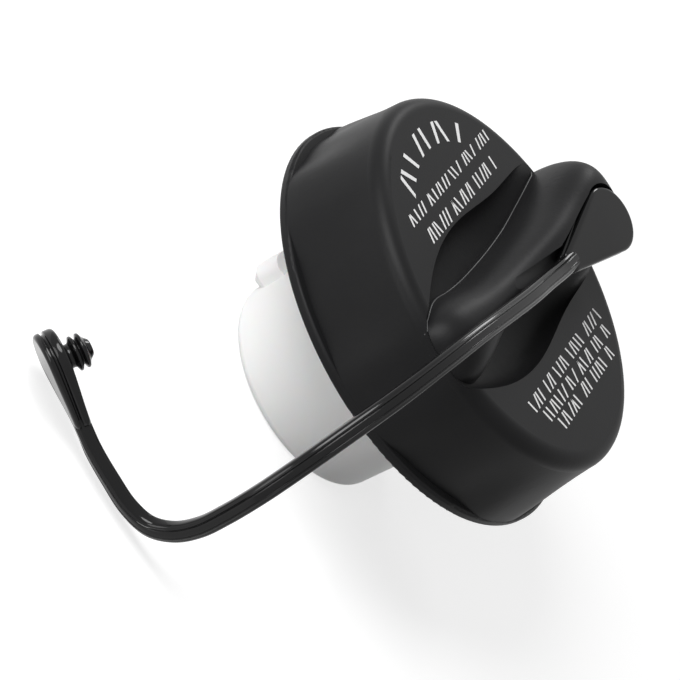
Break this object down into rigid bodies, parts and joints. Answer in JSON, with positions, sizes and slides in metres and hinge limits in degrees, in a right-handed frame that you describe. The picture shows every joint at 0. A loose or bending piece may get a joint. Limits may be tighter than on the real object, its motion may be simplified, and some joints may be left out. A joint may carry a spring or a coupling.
{
  "type": "fuel filler cap",
  "caption": "Fuel filler cap: domed cover with a bar handle between finger wells, over a bayonet closure with a torque clutch, two-way valve, neck seal and moulded tether.",
  "frame": {"origin": "on the cap's axis, at the underside of the cover's lip, where the filler neck meets the cap", "axes": "+Z along the axis out of the neck, +Y along the handle towards the tether's pivot"},
  "size_m": [0.0842, 0.1218, 0.06],
  "materials": {
    "cover_plastic": "fine-grained moulded nylon, charcoal black",
    "tether_plastic": "smooth glossy black moulded strap",
    "acetal_white": "smooth natural white acetal",
    "acetal_grey": "plain moulded acetal",
    "seal_rubber": "moulded nitrile rubber",
    "spring_steel": "drawn stainless wire"
  },
  "bodies": {
    "closure": {"closure_housing": "acetal_white", "ratchet_ring": "acetal_white", "valve_cover": "acetal_white", "neck_seal": "seal_rubber", "valve_seat": "acetal_grey", "seat_o_ring": "seal_rubber", "splash_baffle": "acetal_grey", "end_cap": "acetal_white", "pressure_spring": "spring_steel"},
    "drive": {"drive_ring": "acetal_grey", "pawl_ring": "acetal_grey", "thrust_washer": "acetal_grey", "return_spring": "spring_steel"},
    "cover": {"cover": "cover_plastic", "cover_retainer": "acetal_grey"},
    "tether": {"tether": "tether_plastic"},
    "pressure_valve": {"pressure_plate": "acetal_grey", "pressure_seal": "seal_rubber", "vacuum_spring": "spring_steel"},
    "vacuum_valve": {"vacuum_plunger": "acetal_grey", "vacuum_seal": "seal_rubber", "vacuum_clip": "spring_steel"}
  },
  "joints": [
    {"name": "torque_ratchet", "type": "hinge", "parent": "closure", "child": "drive", "pos_m": [0, 0, 0], "axis": [0, 0, 1], "range_deg": [-360, 0], "deforming": ["pawl_ring"]},
    {"name": "handle_free_turn", "type": "hinge", "parent": "drive", "child": "cover", "pos_m": [0, 0, 0], "axis": [0, 0, 1], "range_deg": [0, 30], "stiffness_Nm_per_rad": 0.02, "springref_deg": -20.05, "deforming": ["return_spring"]},
    {"name": "tether_swivel", "type": "hinge", "parent": "cover", "child": "tether", "pos_m": [0.0046, 0.0266, 0.0324], "axis": [0, -0.1392, 0.9903], "range_deg": [-3, 120]},
    {"name": "pressure_relief", "type": "slide", "parent": "closure", "child": "pressure_valve", "axis": [0, 0, 1], "range_m": [0, 0.002], "stiffness_N_per_m": 150, "springref_m": -0.015, "deforming": ["pressure_spring"]},
    {"name": "vacuum_relief", "type": "slide", "parent": "pressure_valve", "child": "vacuum_valve", "axis": [0, 0, -1], "range_m": [0, 0.0016], "stiffness_N_per_m": 60, "springref_m": -0.01, "deforming": ["vacuum_spring"]}
  ]
}
